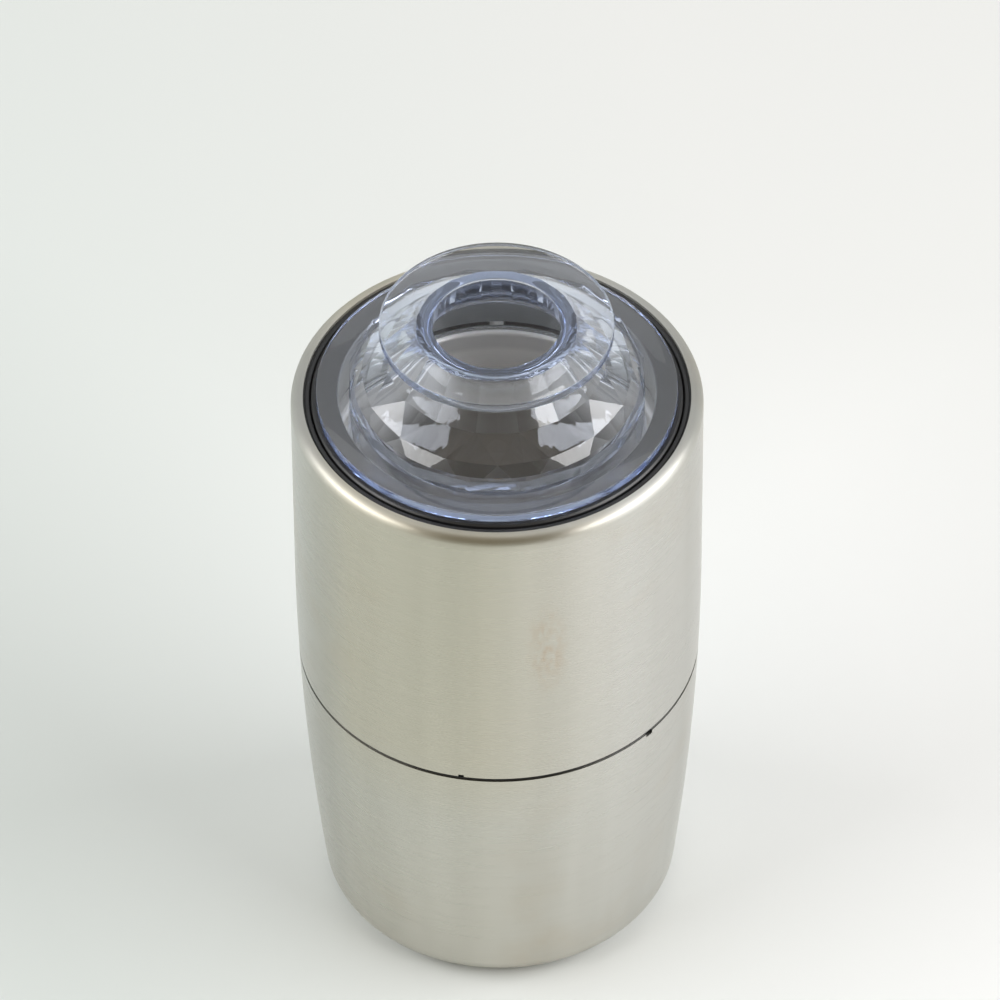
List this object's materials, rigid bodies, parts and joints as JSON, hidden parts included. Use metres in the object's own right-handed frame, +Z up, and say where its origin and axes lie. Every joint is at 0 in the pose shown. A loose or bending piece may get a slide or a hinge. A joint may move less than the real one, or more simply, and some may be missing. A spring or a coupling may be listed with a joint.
{
  "type": "electric spice grinder",
  "caption": "Brushed steel electric spice grinder: motor base, lift-off cup unit with a spinning blade, sprung press ring and a clear lid with a faceted dome.",
  "frame": {"origin": "on the barrel's axis, on the surface that the feet stand on", "axes": "+Z up along the barrel's axis, -Y to the front, +Y to the cord inlet, +X to the right"},
  "size_m": [0.1, 0.1, 0.1865],
  "materials": {
    "brushed_steel": "brushed round the barrel",
    "cup_steel": "satin",
    "screw_steel": "plated",
    "core_steel": "stacked sheets",
    "cast_aluminium": "cast",
    "bronze": "turned",
    "copper": "varnished wire",
    "black_plastic": "moulded",
    "switch_plastic": "moulded",
    "carbon": "pressed carbon",
    "red_plastic": "moulded",
    "white_plastic": "moulded",
    "black_rubber": "moulded",
    "clear_plastic": "clear, polished"
  },
  "bodies": {
    "base": {"base_shell": "brushed_steel", "base_core": "black_plastic", "bottom_cover": "black_plastic", "rubber_feet": "black_rubber", "cover_screws": "screw_steel", "cord_grommet": "black_rubber", "upper_bracket": "cast_aluminium", "lower_bracket": "cast_aluminium", "shaft_bushes": "bronze", "stator_core": "core_steel", "field_coils": "copper", "motor_screws": "screw_steel", "spacer_sleeves": "screw_steel", "motor_dampers": "black_rubber", "brush_holders": "bronze", "carbon_brushes": "carbon", "micro_switch": "switch_plastic", "switch_spring": "screw_steel"},
    "rotor": {"rotor_shaft": "screw_steel", "armature_core": "core_steel", "armature_winding": "copper", "commutator": "copper", "cooling_fan": "white_plastic", "drive_coupling": "black_plastic"},
    "cup_unit": {"upper_shell": "brushed_steel", "rim_ring": "black_plastic", "cup_carrier": "black_plastic", "cup_screws": "screw_steel", "grinding_cup": "cup_steel", "blade_hub": "bronze", "hub_nut": "screw_steel", "shaft_seal": "black_rubber", "return_springs": "screw_steel"},
    "blade_unit": {"blade": "cup_steel", "blade_shaft": "screw_steel", "blade_nut": "screw_steel", "driven_coupling": "black_plastic"},
    "press_unit": {"press_ring": "black_plastic", "push_rod": "white_plastic"},
    "button": {"switch_button": "red_plastic"},
    "lid_unit": {"lid": "clear_plastic"}
  },
  "joints": [
    {"name": "rotor_spin", "type": "hinge", "parent": "base", "child": "rotor", "pos_m": [0, 0, 0.045], "axis": [0, 0, 1], "continuous": true},
    {"name": "cup_lift", "type": "slide", "parent": "base", "child": "cup_unit", "axis": [0, 0, 1], "range_m": [0, 0.06]},
    {"name": "blade_spin", "type": "hinge", "parent": "cup_unit", "child": "blade_unit", "pos_m": [0, 0, 0.1], "axis": [0, 0, 1], "continuous": true},
    {"name": "press", "type": "slide", "parent": "cup_unit", "child": "press_unit", "axis": [0, 0, 1], "range_m": [-0.0025, 0], "stiffness_N_per_m": 3000, "springref_m": 0.002, "deforming": ["return_springs"]},
    {"name": "switch_press", "type": "slide", "parent": "base", "child": "button", "axis": [0, 0, 1], "range_m": [-0.0025, 0], "stiffness_N_per_m": 400, "springref_m": 0.001, "deforming": ["switch_spring"]},
    {"name": "lid_lift", "type": "slide", "parent": "press_unit", "child": "lid_unit", "axis": [0, 0, 1], "range_m": [0, 0.08]}
  ],
  "couplings": [
    {"joint": "blade_spin", "follows": "rotor_spin", "ratio": 1},
    {"joint": "switch_press", "follows": "press", "ratio": 1}
  ]
}
